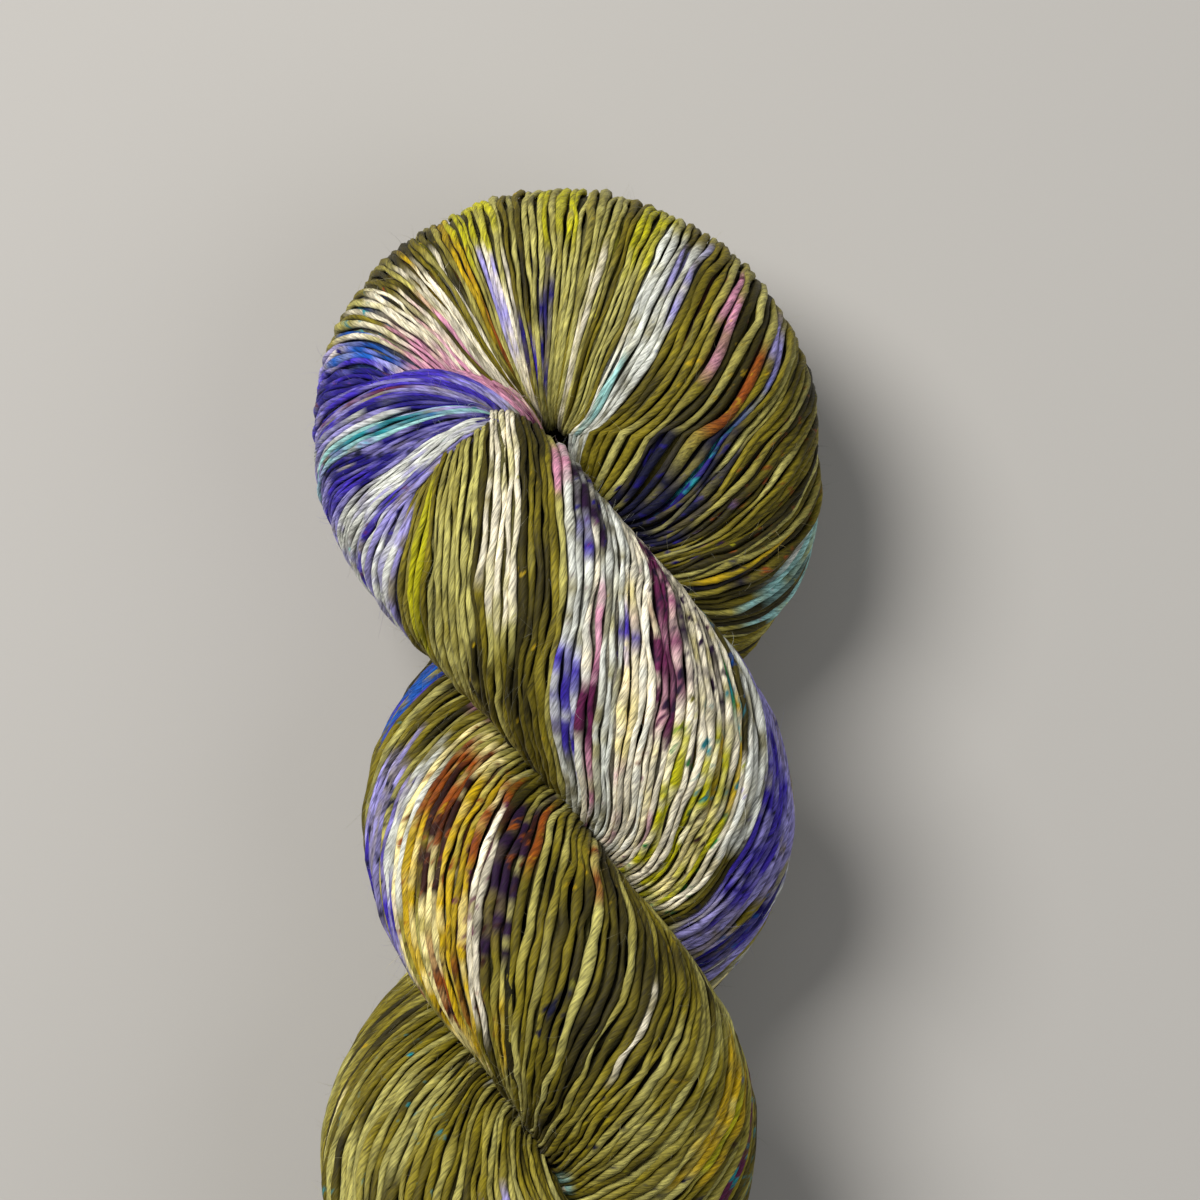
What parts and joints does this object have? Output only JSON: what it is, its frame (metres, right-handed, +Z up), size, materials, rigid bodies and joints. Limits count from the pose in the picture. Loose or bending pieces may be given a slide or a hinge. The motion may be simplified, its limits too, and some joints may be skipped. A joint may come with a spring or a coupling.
{
  "type": "skein of yarn",
  "caption": "Twisted skein of hand-dyed wool yarn, folded and plied on itself, with a round head, a tucked tail and a cotton tie.",
  "frame": {"origin": "middle of the footprint, on the surface that the skein lies on", "axes": "+Z up, +Y along the skein towards its folded head, +X to the right seen from above with the head away from the viewer"},
  "size_m": [0.0823, 0.2344, 0.0677],
  "materials": {
    "yarn": "single-ply merino wool yarn, hand-dyed olive with speckles and streaks of violet, blue, plum, cream, yellow and rust, slightly glossy with a fine fuzz",
    "tie": "dark green twisted cotton thread, matt"
  },
  "bodies": {
    "root": {"yarn_skein": "yarn", "tie_loop": "tie", "tie_knot": "tie", "tie_end_right": "tie", "tie_end_left": "tie"}
  },
  "joints": []
}
